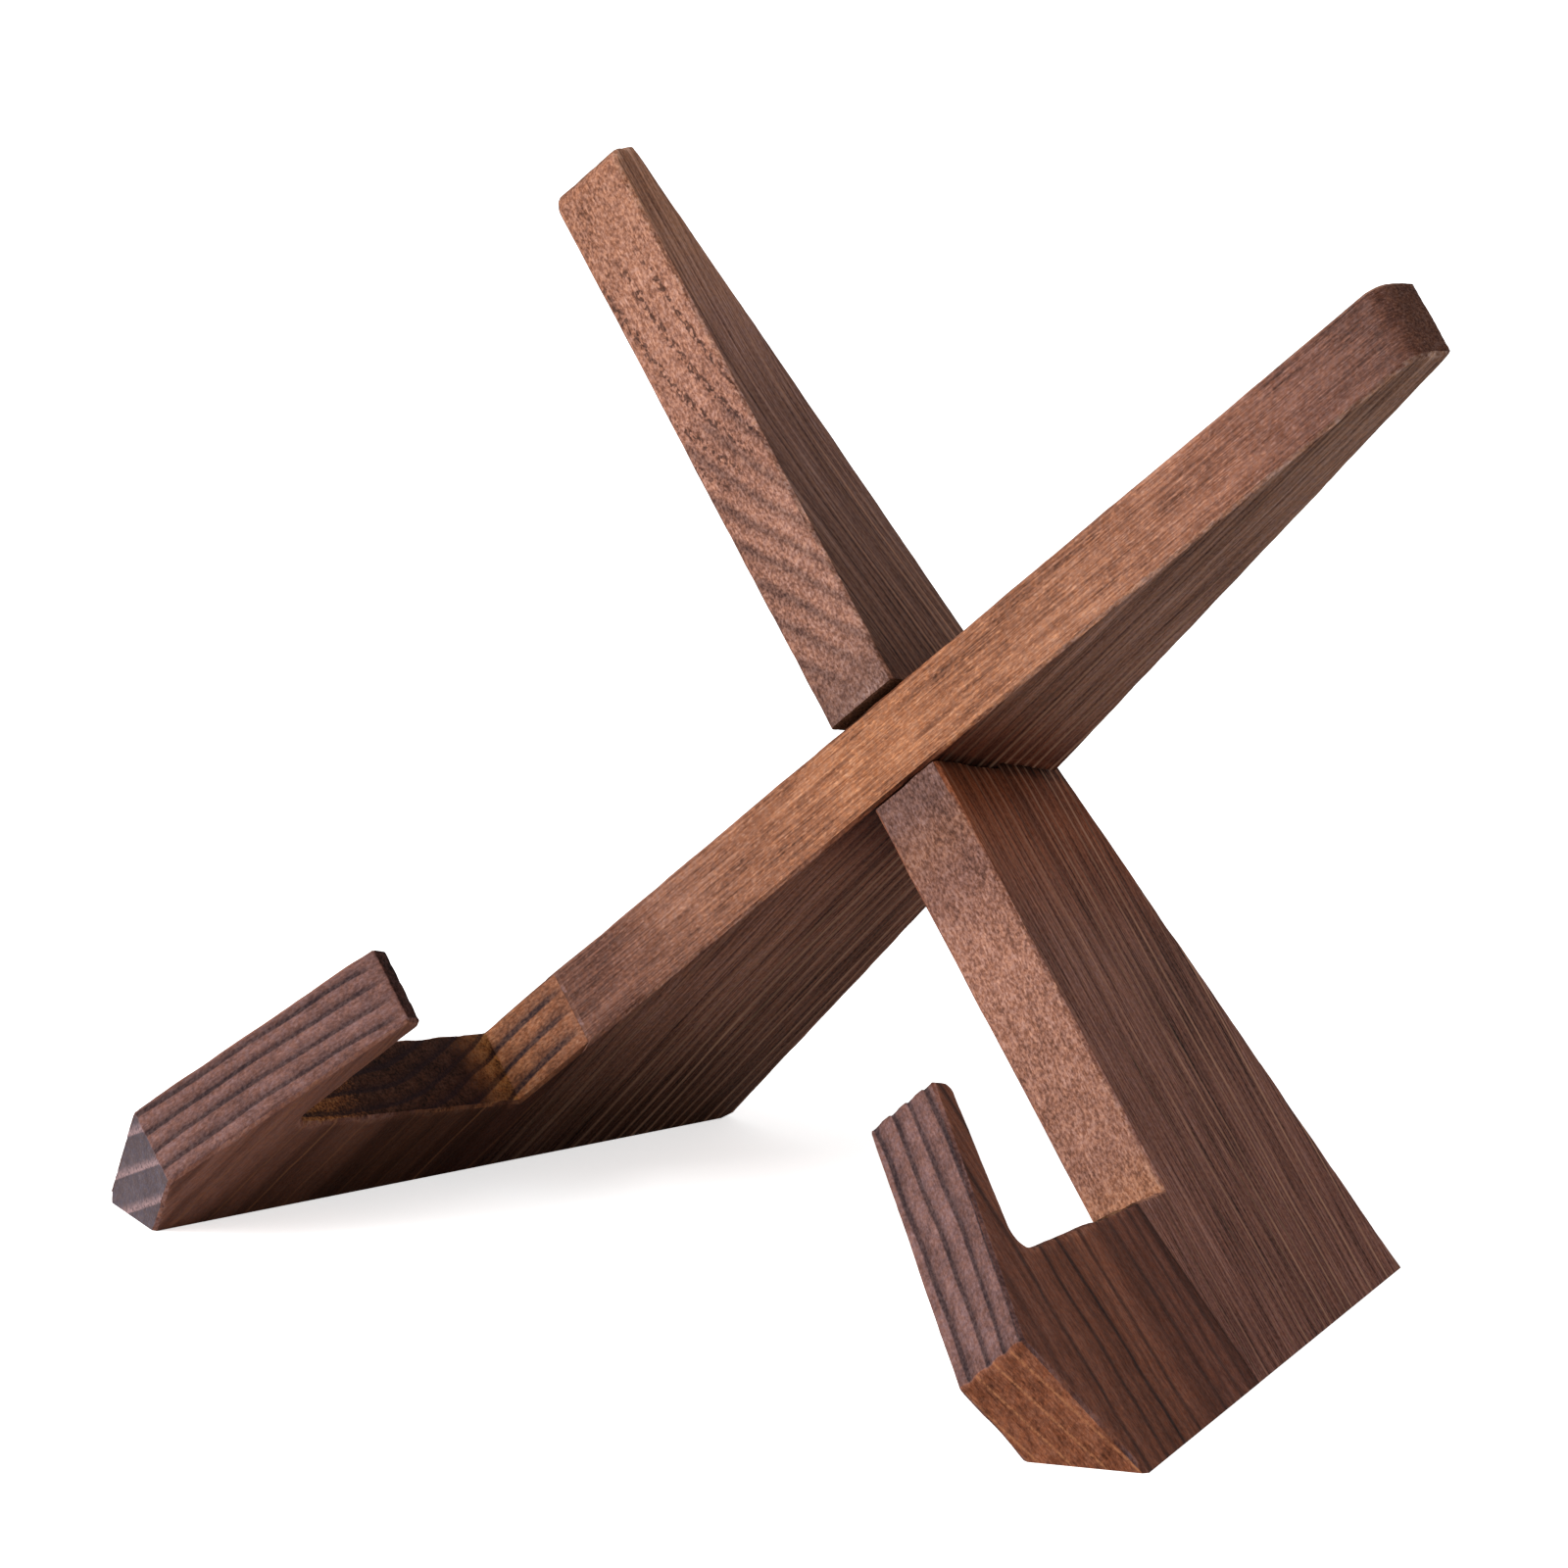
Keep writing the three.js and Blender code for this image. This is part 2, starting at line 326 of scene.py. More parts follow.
def sawn_stave(side, stave):
    """A stave's sawn faces in the board's own axes, cut up finely enough to be worn."""
    name = f"{side}_{stave}"
    work = bmesh.new()
    work.from_mesh(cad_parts[f"{side}_board_{stave}_stave"].data)
    bmesh.ops.transform(work, matrix=board_place(side).inverted(), verts=work.verts)
    bmesh.ops.remove_doubles(work, verts=work.verts, dist=SAME_POINT)
    bmesh.ops.dissolve_limit(work, angle_limit=SAME_FACE, verts=work.verts[:], edges=work.edges[:])

    # The glued face comes up to the glue line
    out, reach = glue_line(side)
    seam = -SEAM if stave == "spine" else SEAM
    for vert in work.verts:
        beyond = vert.co.dot(out) - reach
        if abs(beyond) < GLUED:
            vert.co += out * (seam - beyond)

    if name in KNOCKED_OFF:
        knock_off(work, *(Vector(place) for place in KNOCKED_OFF[name]))
    for axis, step in ((1, FORWARD_STEP), (2, ACROSS_STEP), (0, ALONG_STEP)):
        normal = Vector([float(axis == i) for i in range(3)])
        low = min(v.co[axis] for v in work.verts)
        high = max(v.co[axis] for v in work.verts)
        for k in range(1, int((high - low) / step) + 1):
            cut(work, normal * (low + k * step), normal)
    mesh = bpy.data.meshes.new(f"{name}_sawn")
    work.to_mesh(mesh)
    work.free()
    return mesh


# How each stave is worn. The reliefs and the unevenness that sanding left are depths in millimetres: of
# the softer rings on the faces and on the ends, and of the valleys on the toe. Arris wear is a share of
# what smoothing would take, and more passes of that smoothing wear the arrises wider.
WORN_ALIKE = {"Arris wear": 1.0, "Unevenness": 0.15, "Passes": 2}
RELIEF = {
    "left_spine": {"Ring relief": 0.04, "End relief": 0.1, "Toe relief": 0.0},
    "right_spine": {"Ring relief": 0.06, "End relief": 0.15, "Toe relief": 0.0},
    "left_hook": {"Ring relief": 0.2, "End relief": 0.12, "Toe relief": 0.25},
    "right_hook": {"Ring relief": 0.22, "End relief": 0.8, "Toe relief": 0.12},
}
# How far an arris counts as sinking at most, in millimetres
DEEPEST_WEAR = 0.3
# The angle past which an edge stays crisp
CRISP_ANGLE = radians(24)


def arris_sharpness(tree, place, facing, passes):
    """How far each point would sink if its surroundings were smoothed: most on the arrises."""
    rounded = add(tree, "GeometryNodeBlurAttribute", {"Value": place, "Iterations": passes},
                  data_type="FLOAT_VECTOR")
    shift = add(tree, VECTOR, [rounded, place], operation="SUBTRACT")
    raised = add(tree, VECTOR, [shift, facing], operation="DOT_PRODUCT")
    sunk = add(tree, MATH, [raised.outputs["Value"], -1.0], operation="MULTIPLY")
    outward = add(tree, MATH, [sunk, 0.0], operation="MAXIMUM")
    limited = add(tree, MATH, [outward, DEEPEST_WEAR], operation="MINIMUM")
    return add(tree, "GeometryNodeBlurAttribute", {"Value": limited, "Iterations": 1}, data_type="FLOAT")


def free_to_wear(tree, side, place):
    """From 0, where the staves are glued flush and where the foot stands on the ground, to 1 beyond."""
    apart = add(tree, MATH, [from_glue_line(tree, side, place)], operation="ABSOLUTE")
    flush = add(tree, RANGE, [apart, *SPANS["free of glue"]], **SMOOTH)
    height = above_ground(tree, side, place)
    standing = add(tree, RANGE, [height, *SPANS["free of ground"]], **SMOOTH)
    return product(tree, flush, standing)


def ring_relief(tree, side, grain, place, facing, given):
    """How deep the softer rings lie on the faces and ends, and the valleys on the toe."""
    along, _, across = add(tree, SPLIT, [place]).outputs[:3]
    rings = ring_count(tree, straight_grain(tree, place, grain), grain)
    part = add(tree, MATH, [rings], operation="FRACT")
    soft = add(tree, RANGE, [part, *SPANS["soft ring"]], **SMOOTH)
    hard = add(tree, RANGE, [part, *SPANS["hard ring"]], **SMOOTH)
    lengthwise = add(tree, MATH, [add(tree, SPLIT, [facing])], operation="ABSOLUTE")
    is_end = add(tree, RANGE, [lengthwise, *SPANS["end relief"]])
    depth = add(tree, MIX, [is_end, given["Ring relief"], given["End relief"]], data_type="FLOAT")
    is_toe = faces_toe(tree, side, facing)
    not_toe = add(tree, MATH, [1.0, is_toe], operation="SUBTRACT")
    off_ridge = add(tree, MATH, [1.0, toe_ridge(tree, side, along, across)], operation="SUBTRACT")
    lowered = product(tree, soft, hard, depth, not_toe)
    toe_lowered = product(tree, is_toe, off_ridge, given["Toe relief"])
    return add(tree, MATH, [lowered, toe_lowered], operation="ADD")


def worn_surface(side, grain):
    """Geometry Nodes that wear the arrises of a sawn stave and lower its softer rings."""
    tree = bpy.data.node_groups.new("worn_surface", "GeometryNodeTree")
    tree.interface.new_socket(name="Stave", in_out="INPUT", socket_type="NodeSocketGeometry")
    for name in ("Arris wear", "Ring relief", "End relief", "Toe relief", "Unevenness"):
        tree.interface.new_socket(name=name, in_out="INPUT", socket_type="NodeSocketFloat")
    tree.interface.new_socket(name="Passes", in_out="INPUT", socket_type="NodeSocketInt")
    tree.interface.new_socket(name="Finish", in_out="INPUT", socket_type="NodeSocketMaterial")
    tree.interface.new_socket(name="Stave", in_out="OUTPUT", socket_type="NodeSocketGeometry")
    given = add(tree, "NodeGroupInput").outputs
    place = add(tree, "GeometryNodeInputPosition")
    facing = add(tree, "GeometryNodeInputNormal")
    free = free_to_wear(tree, side, place)

    # The stain reads how sharp an arris is, to be rubbed thin and given a painted highlight there
    sharp = arris_sharpness(tree, place, facing, given["Passes"])
    kept = add(tree, "GeometryNodeStoreNamedAttribute", {
        "Geometry": given["Stave"], "Name": "arris", "Value": product(tree, sharp, free),
    }, data_type="FLOAT", domain="POINT")
    rubbing = add(tree, RANGE, [mark(tree, place, "rubbing"), *SPANS["rubbing"]])
    wear = product(tree, rubbing, given["Arris wear"], sharp)

    # Hand sanding leaves the faces a little uneven. The glued staves were sanded flush with each other.
    waves = add(tree, RANGE, [mark(tree, place, "waves"), *SPANS["waves"]])
    hollow = product(tree, waves, given["Unevenness"])
    relief = ring_relief(tree, side, grain, place, facing, given)
    sanded = add(tree, MATH, [relief, hollow], operation="ADD")
    depth = add(tree, MATH, [sanded, wear], operation="ADD")
    inward = product(tree, depth, free, -1.0)
    offset = add(tree, VECTOR, {0: facing, "Scale": inward}, operation="SCALE")
    relieved = add(tree, "GeometryNodeSetPosition", {"Geometry": kept, "Offset": offset})

    smooth = add(tree, "GeometryNodeSetShadeSmooth", {"Geometry": relieved})
    edge_angle = add(tree, "GeometryNodeInputMeshEdgeAngle")
    sharp_edge = add(tree, MATH, [edge_angle, CRISP_ANGLE], operation="GREATER_THAN")
    crisp = add(tree, "GeometryNodeSetShadeSmooth", {
        "Geometry": smooth, "Selection": sharp_edge, "Shade Smooth": False}, domain="EDGE")
    real = add(tree, "GeometryNodeRealizeInstances", {"Geometry": crisp})
    finished = add(tree, "GeometryNodeSetMaterial", {"Geometry": real, "Material": given["Finish"]})
    add(tree, "NodeGroupOutput", {"Stave": finished})
    return tree


def dressed_stave(side, stave, finish):
    """One stave with worn arrises and raised grain, in place of its CAD node."""
    name = f"{side}_{stave}"
    sawn = bpy.data.objects.new(f"{name}_sawn", sawn_stave(side, stave))
    bpy.context.scene.collection.objects.link(sawn)
    worn = sawn.modifiers.new("worn_surface", "NODES")
    worn.node_group = worn_surface(side, GRAIN[name])
    sockets = {s.name: s.identifier for s in worn.node_group.interface.items_tree if s.in_out == "INPUT"}
    for label, value in {**WORN_ALIKE, **RELIEF[name], "Finish": finish}.items():
        worn[sockets[label]] = value
    evaluated = sawn.evaluated_get(bpy.context.evaluated_depsgraph_get())
    mesh = bpy.data.meshes.new_from_object(evaluated)
    mesh.name = f"{name}_stave_worn"
    bpy.data.objects.remove(sawn)
    mesh.transform(board_place(side))
    for vertex in mesh.vertices:
        vertex.co.z = max(vertex.co.z, 0.0)
    piece = bpy.data.objects.new(f"{name}_stave_worn", mesh)
    bpy.context.scene.collection.objects.link(piece)
    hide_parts(f"{side}_board_{stave}_stave")
    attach(piece, f"{side}_board")


# The stain on each stave; the left staves' side colours also hold painted shade near the ground.
# edge, side, end: how its colour changes on the leaning edge, on the sides and on the ends, at places in
# millimetres. The edge's places run along the board and the end's forward, and side_by says which way the
# side's run. hook and toe: its colour on the hook's outer face and on the toe.
# speckled: how far the leaning edge is speckled and not streaked. blotchy: how much of its tone lies in
# blotches. contrast: how far light and dark fibres part on each face. bands: how dark the broad bands on
# the sides are. bared: how bright the fibres are that sanding bared. flecks: from cool to golden tints.
# lines: how strong the pale or dark lines on the sides are, with their colour. lines_by: what is left of
# them at the back and at the front. line_width: how far from its middle a line fades out, as a share of
# their spacing. line_unevenness: how much fainter some are. stripes: how strong the dark rings are on the
# leaning edge and on the sides. stripe_shape: where in a ring their shade begins, their line begins, their
# line ends and their shade ends. stripes_span: from where to where along the board they show.
STAIN = {
    "left_spine": {
        "edge": ((-105, "#6c4436"), (-88, "#74493a"), (-68, "#8d5d49"), (-5, "#a96c4a"), (55, "#9f684d"),
                 (105, "#935f4a"), (132, "#7c5042"), (158, "#6c463a")),
        # Painted shade near the ground: this side darkens towards the heel, below -80 mm along, as darker
        # stain
        "side": ((-165, "#54322a"), (-125, "#6a4636"), (-80, "#a67462"), (-34, "#a46f5b"), (-14, "#864b36"),
                 (14, "#8a4e38"), (34, "#a4735f"), (60, "#b0806e"), (150, "#b88a76")),
        "side_by": "along",
        "end": ((-60, "#744c3e"), (0, "#744c3e")),
        "hook": "#8a5f4f", "toe": "#6a4a40",
        "speckled": 0.22, "blotchy": 0.2, "bands": 0.2, "bared": 0.5,
        "contrast": {"edge": 0.95, "side": 1.2, "hook": 0.5, "end": 0.75, "toe": 0.4},
        "flecks": ((0.95, 0.98, 1.03, 1.0), (1.1, 1.01, 0.88, 1.0)),
        "lines": (1.0, "#e0b090"), "lines_by": (1.0, 0.35), "line_width": 0.22, "line_unevenness": 0.5,
        "stripes": (0.0, 0.0), "stripe_shape": (0.4, 0.8, 0.9, 1.0), "stripes_span": (-300.0, 300.0),
    },
    "right_spine": {
        "edge": ((-124, "#a26c50"), (-112, "#9a6855"), (-55, "#a7725e"), (-36, "#86594b"), (-26, "#8a5b48"),
                 (-17, "#775147"), (12, "#785449"), (30, "#9e6d5b"), (95, "#a8735f"), (150, "#a67058")),
        "side": ((-180, "#966052"), (-60, "#9e6a5a"), (-16, "#a85c38"), (20, "#7c5443"), (60, "#886052"),
                 (110, "#a87868"), (150, "#c2886c")),
        "side_by": "along",
        "end": ((-60, "#8a5f48"), (0, "#8a5f48")),
        "hook": "#a07466", "toe": "#8a5f48",
        "speckled": 0.9, "blotchy": 0.2, "bands": 0.14, "bared": 0.4,
        "contrast": {"edge": 0.75, "side": 1.25, "hook": 0.5, "end": 0.6, "toe": 0.5},
        "flecks": ((0.96, 0.98, 1.02, 1.0), (1.07, 1.01, 0.91, 1.0)),
        "lines": (1.0, "#dca486"), "lines_by": (1.0, 0.4), "line_width": 0.2, "line_unevenness": 0.8,
        "stripes": (0.6, 0.1), "stripe_shape": (0.0, 0.42, 0.55, 0.9), "stripes_span": (10.0, 96.0),
    },
    "left_hook": {
        "edge": ((-130, "#98603c"), (-100, "#925c41")),
        # Painted shade near the ground: this side darkens from 78 mm forward down to -12 mm, as darker stain
        "side": ((-12, "#58352a"), (25, "#6c4532"), (50, "#8c5d4b"), (78, "#b07866")),
        "side_by": "forward",
        "end": ((0, "#a8703f"), (5, "#8c5834"), (11, "#46281c"), (44, "#482819"), (52, "#8e5630"),
                (60, "#b07240"), (68, "#5a3426"), (80, "#4a2a24")),
        "hook": "#7f5850", "toe": "#63565b",
        "speckled": 0.8, "blotchy": 0.35, "bands": 0.4, "bared": 0.25,
        "contrast": {"edge": 0.7, "side": 0.35, "hook": 0.6, "end": 1.1, "toe": 0.3},
        "flecks": ((0.95, 0.98, 1.04, 1.0), (1.09, 1.0, 0.9, 1.0)),
        "lines": (0.6, "#c88a60"), "lines_by": (1.0, 1.0), "line_width": 0.12, "line_unevenness": 3.2,
        "stripes": (1.0, 0.0), "stripe_shape": (0.2, 0.66, 0.84, 0.93), "stripes_span": (-300.0, -100.0),
    },
    "right_hook": {
        "edge": ((-130, "#96663f"), (-100, "#96663f")),
        "side": ((-12, "#8a5646"), (20, "#985e4b"), (45, "#a2634a"), (70, "#9a5f49"), (90, "#8a5646")),
        "side_by": "forward",
        "end": ((0, "#8a5c40"), (66, "#6a4634")),
        "hook": "#7f5a54", "toe": "#9c5f44",
        "speckled": 0.8, "blotchy": 0.35, "bands": 0.3, "bared": 0.25,
        "contrast": {"edge": 0.7, "side": 0.6, "hook": 0.65, "end": 0.8, "toe": 0.85},
        "flecks": ((0.95, 0.98, 1.04, 1.0), (1.09, 1.0, 0.9, 1.0)),
        "lines": (1.0, "#2c1b1b"), "lines_by": (1.0, 1.0), "line_width": 0.3, "line_unevenness": 1.2,
        "stripes": (1.0, 0.0), "stripe_shape": (0.2, 0.66, 0.84, 0.93), "stripes_span": (-300.0, 300.0),
    },
}
# All places in that table lie between these two, in millimetres
LOWEST, HIGHEST = -210.0, 170.0

# How far the faces other than the leaning edge are speckled, how much of the sides' tone is in streaks,
# and how much of every tone is in broad patches
SPECKLED = {"hook": 0.6, "side": 0.3, "end": 0.9, "toe": 0.4}
STREAKS_ON_SIDE, PATCHY = 0.35, 0.15
# What lies further forward than this is the hook's, in millimetres
HOOK_FROM = 30.0

# The lines on a side: how far from its middle a line is full, as a share of their spacing, then how far
# apart they are on a hook stave, and between which places forward they fade, in millimetres
LINE_CORE, LINE_SPACING, LINES_FADE = 0.02, 5.0, (-40.0, -6.0)
# How much of the darkening beside the slot is in torn fibres, the rest being an even painted shade where
# the other board meets this one, how dark it is, and how much of it the right board's leaning edge takes
TORN_SHARE, TORN_AND_SHADED_DARK, TORN_AND_SHADED_EDGE = 0.6, 0.9, 0.3
# Rows of pores to a ring, and how dark they are
PORE_ROWS, PORES_DARK = 1.2, 0.7
# How much brighter a rubbed arris and the rubbed fold above the toe are, as rubbed stain with a painted
# highlight
RUBBED_AND_HIGHLIT_GAIN, FOLD_GAIN = 0.4, 0.9
# How ragged the stain's changes on the ends are, in millimetres
RAGGED = 14.0
# How soft the dark line of a ring begins, as shares of the ring before and after, and over how many
# millimetres the dark rings begin and end along the board
STRIPE_SOFTNESS = (0.07, 0.05)
STRIPES_BEGIN, STRIPES_END = 20.0, 8.0
# The colours of a dark ring and of the far sides, which face away from the camera
DARK_RING, FAR_SIDE = "#2c191d", "#8c5d4c"

# The darkest tone, and the powers of the tone that green and blue take, in shadows and in highlights:
# thick stain is redder, and thin stain is more tan
DARKEST = 0.04
GREEN_POWERS, BLUE_POWERS = (1.1, 1.3), (1.16, 1.48)


def stain_ramp(tree, where, stops):
    """The stain's colour between places on the board."""
    share = add(tree, RANGE, [where, LOWEST, HIGHEST])
    ramp = add(tree, "ShaderNodeValToRGB", [share])
    elements = ramp.color_ramp.elements
    elements[1].position = 1.0
    for place, text in stops:
        elements.new((place - LOWEST) / (HIGHEST - LOWEST)).color = colour(text)
    elements[0].color, elements[-1].color = colour(stops[0][1]), colour(stops[-1][1])
    return ramp


def by_face(tree, faces, values, data_type):
    """A value or a colour that differs from face to face."""
    result = values["edge"]
    for face, mask in faces.items():
        result = add(tree, MIX, [mask, result, values[face]], data_type=data_type)
    return result


def darkened(tree, light, shade):
    """The tone under a dark mark."""
    left = add(tree, MATH, [1.0, shade], operation="SUBTRACT")
    return product(tree, light, left)


def rubbed(tree, light, share, gain):
    """The tone where the stain is rubbed thin, with a painted highlight over it."""
    raised = add(tree, MATH, [share, gain, 1.0], operation="MULTIPLY_ADD")
    return product(tree, light, raised)


def wood_at(tree, side, grain):
    """What the stain follows at each place: where it is, which face it is on, its rings and fibres."""
    to_board = board_place(side).inverted()
    turn = to_board.to_3x3().normalized().to_euler()
    where = add(tree, "ShaderNodeTexCoord").outputs
    place = add(tree, "ShaderNodeMapping", {
        "Vector": where["Object"], "Location": to_board.translation, "Rotation": turn,
        "Scale": (1 / METRES,) * 3,
    })
    facing = add(tree, "ShaderNodeMapping", {"Vector": where["Normal"], "Rotation": turn},
                 vector_type="VECTOR")
    along, forward, across = add(tree, SPLIT, [place]).outputs[:3]
    lengthwise, _, sideways = add(tree, SPLIT, [facing]).outputs[:3]
    to_side = add(tree, MATH, [sideways], operation="ABSOLUTE")
    to_end = add(tree, MATH, [lengthwise], operation="ABSOLUTE")
    faces = {
        "hook": add(tree, MATH, [forward, HOOK_FROM], operation="GREATER_THAN"),
        "side": add(tree, RANGE, [to_side, *SPANS["side"]], **SMOOTH),
        "end": add(tree, RANGE, [to_end, *SPANS["end"]], **SMOOTH),
        "toe": faces_toe(tree, side, facing),
    }
    straight = straight_grain(tree, place, grain)
    return SimpleNamespace(
        place=place, along=along, forward=forward, across=across, faces=faces, straight=straight,
        far_side=add(tree, RANGE, [sideways, *SPANS["far side"]], **SMOOTH),
        off_side=add(tree, MATH, [1.0, faces["side"]], operation="SUBTRACT"),
        off_toe=add(tree, MATH, [1.0, faces["toe"]], operation="SUBTRACT"),
        rings=ring_count(tree, straight, grain),
        fibres=mark(tree, straight, "fibres"),
        speckle=mark(tree, straight, "speckle"),
        patches=add(tree, RANGE, [mark(tree, straight, "patches"), *SPANS["patches"]], **SMOOTH),
    )


def uneven_tone(tree, wood, stain):
    """How light the wood is: streaked or speckled, blotchy and patchy, with broad bands on the sides."""
    noises = {name: mark(tree, wood.straight, name) for name in ("blotches", "streaks", "bands")}
    noises["side fibres"] = mark(tree, wood.place, "side fibres")
    noises["toe fibres"] = mark(tree, wood.place, "toe fibres")
    noises["fibres"] = wood.fibres
    noises["speckle"] = wood.speckle
    tones = {name: add(tree, RANGE, [noise, *SPANS[name]], **SMOOTH) for name, noise in noises.items()}
    is_side = wood.faces["side"]
    speckled = by_face(tree, wood.faces, {"edge": stain["speckled"], **SPECKLED}, "FLOAT")
    contrast = by_face(tree, wood.faces, stain["contrast"], "FLOAT")
    streaked = add(tree, MIX, [is_side, tones["side fibres"], tones["fibres"]], data_type="FLOAT")
    drawn = add(tree, MIX, [wood.faces["toe"], streaked, tones["toe fibres"]], data_type="FLOAT")
    fine = add(tree, MIX, [speckled, drawn, tones["speckle"]], data_type="FLOAT")
    broad = add(tree, MIX, [is_side, tones["blotches"], tones["streaks"]], data_type="FLOAT")
    broad_share = add(tree, MIX, [is_side, stain["blotchy"], STREAKS_ON_SIDE], data_type="FLOAT")
    mixed = add(tree, MIX, [broad_share, fine, broad], data_type="FLOAT")
    tone = add(tree, MIX, [PATCHY, mixed, wood.patches], data_type="FLOAT")
    swing = add(tree, MATH, [tone, 2.0, -1.0], operation="MULTIPLY_ADD")
    light = add(tree, MATH, [swing, contrast, 1.0], operation="MULTIPLY_ADD")
    return darkened(tree, light, product(tree, tones["bands"], stain["bands"], is_side))


def side_lines(tree, wood, stain, stave):
    """Lines along the sides, where hard rings took the stain another way: some strong and some faint."""
    rings = wood.rings
    if stave == "hook":
        level = add(tree, SPLIT, [wood.straight]).outputs[1]
        wander = mark(tree, wood.straight, "line wander")
        rings = add(tree, MATH, [level, 1 / LINE_SPACING, wander], operation="MULTIPLY_ADD")
    from_line = add(tree, MATH, [rings, 0.5], operation="PINGPONG")
    thin = add(tree, RANGE, [from_line, LINE_CORE, stain["line_width"], 1.0, 0.0], **SMOOTH)
    which = add(tree, MATH, [rings], operation="ROUND")
    drawn_lot = add(tree, "ShaderNodeTexWhiteNoise", {"W": which}, noise_dimensions="1D").outputs["Value"]
    strength = add(tree, MATH, [drawn_lot, stain["line_unevenness"]], operation="POWER")
    faded = add(tree, RANGE, [wood.forward, *LINES_FADE, *stain["lines_by"]], **SMOOTH)
    kept = add(tree, RANGE, [wood.far_side, *SPANS["lines on far side"]], **SMOOTH)
    broken = add(tree, RANGE, [wood.fibres, *SPANS["fibres in lines"]], **SMOOTH)
    return product(tree, thin, strength, wood.faces["side"], faded, kept, broken, stain["lines"][0])


def soaked_by_glue(tree, wood, side, light):
    """The glue line is dark, and on the right board so is the wood just in front of it."""
    beyond = from_glue_line(tree, side, wood.place)
    apart = add(tree, MATH, [beyond], operation="ABSOLUTE")
    line = add(tree, RANGE, [apart, *SPANS["glue line"]], **SMOOTH)
    light = darkened(tree, light, product(tree, line, wood.faces["side"]))
    if side == "right":
        in_front = add(tree, MATH, [beyond, 0.0], operation="GREATER_THAN")
        soaked = add(tree, RANGE, [beyond, *SPANS["soaked by glue"]], **SMOOTH)
        light = darkened(tree, light, product(tree, in_front, soaked))
    return light


def torn_and_shaded_at_slot(tree, wood, side, light):
    """Torn fibres that soaked up the stain where the slot was sawn across the grain, over an even painted
    shade in the corner where the other board meets this one.
    """
    from_slot = add(tree, MATH, [wood.along], operation="ABSOLUTE")
    near = add(tree, RANGE, [from_slot, *SPANS["torn at slot"]], **SMOOTH)
    fibrous = add(tree, RANGE, [wood.fibres, *SPANS["fibres at slot"]], **SMOOTH)
    torn = product(tree, near, fibrous)
    # Painted shade: an even dark band in the corner beside the slot, under the torn fibres
    even = add(tree, RANGE, [from_slot, *SPANS["shade at slot"]], **SMOOTH)
    soaked = add(tree, MIX, [TORN_SHARE, even, torn], data_type="FLOAT")
    where = wood.faces["side"]
    if side == "right":
        where = add(tree, MIX, [where, TORN_AND_SHADED_EDGE, 1.0], data_type="FLOAT")
    return darkened(tree, light, product(tree, soaked, TORN_AND_SHADED_DARK, where))


def open_pores(tree, wood, light):
    """Rows of open pores across the upper part of the leaning edge."""
    ticks = add(tree, RANGE, [mark(tree, wood.straight, "pores"), *SPANS["pores"]], **SMOOTH)
    rows = add(tree, MATH, [wood.rings, PORE_ROWS], operation="MULTIPLY")
    from_row = add(tree, MATH, [rows, 0.5], operation="PINGPONG")
    in_row = add(tree, RANGE, [from_row, *SPANS["row of pores"]], **SMOOTH)
    begun = add(tree, RANGE, [wood.along, *SPANS["pores begin"]], **SMOOTH)
    ended = add(tree, RANGE, [wood.along, *SPANS["pores end"]], **SMOOTH)
    return darkened(tree, light, product(tree, ticks, in_row, begun, ended, wood.off_side, PORES_DARK))


def sanded_and_highlit(tree, wood, stain, light):
    """Sanding bared hard fibres, as small bright flecks, and rubbed the stain off arrises and fold, where a
    painted highlight also lies; on the arrises it lies mostly on the side that faces the camera.
    """
    bared = add(tree, RANGE, [mark(tree, wood.straight, "bared fibres"), *SPANS["bared fibres"]], **SMOOTH)
    bright = product(tree, bared, stain["bared"], wood.off_side)
    light = add(tree, MATH, [light, bright], operation="ADD")
    arris = add(tree, "ShaderNodeAttribute", attribute_name="arris").outputs["Fac"]
    on_arris = add(tree, RANGE, [arris, *SPANS["arris"]], **SMOOTH)
    broken = add(tree, RANGE, [wood.speckle, *SPANS["speckle on arris"]], **SMOOTH)
    # Painted highlight with rubbed stain on the arrises, mostly on the side that faces the camera
    near_side = add(tree, RANGE, [wood.across, *SPANS["rubbed and highlit across"]], **SMOOTH)
    light = rubbed(tree, light, product(tree, on_arris, broken, near_side), RUBBED_AND_HIGHLIT_GAIN)
    # Painted highlight with rubbed stain along the fold above the toe
    return rubbed(tree, light, product(tree, wood.faces["toe"], wood.off_toe), FOLD_GAIN)


def stain_by_face(tree, wood, stain):
    """The stain's middle colour on each face."""
    side_place = wood.along if stain["side_by"] == "along" else wood.forward
    side = add(tree, MIX, [wood.far_side, stain_ramp(tree, side_place, stain["side"]), colour(FAR_SIDE)],
               data_type="RGBA")
    ragged = add(tree, MATH, [wood.speckle, RAGGED, -RAGGED / 2], operation="MULTIPLY_ADD")
    tip = add(tree, RANGE, [wood.along, *SPANS["hook's tip"]], **SMOOTH)
    on_tip = product(tree, wood.faces["hook"], tip)
    rough_place = add(tree, MATH, [wood.forward, ragged], operation="ADD")
    end_place = add(tree, MATH, [rough_place, on_tip], operation="ADD")
    colours = {
        "edge": stain_ramp(tree, wood.along, stain["edge"]), "hook": colour(stain["hook"]), "side": side,
        "end": stain_ramp(tree, end_place, stain["end"]), "toe": colour(stain["toe"]),
    }
    return by_face(tree, wood.faces, colours, "RGBA")


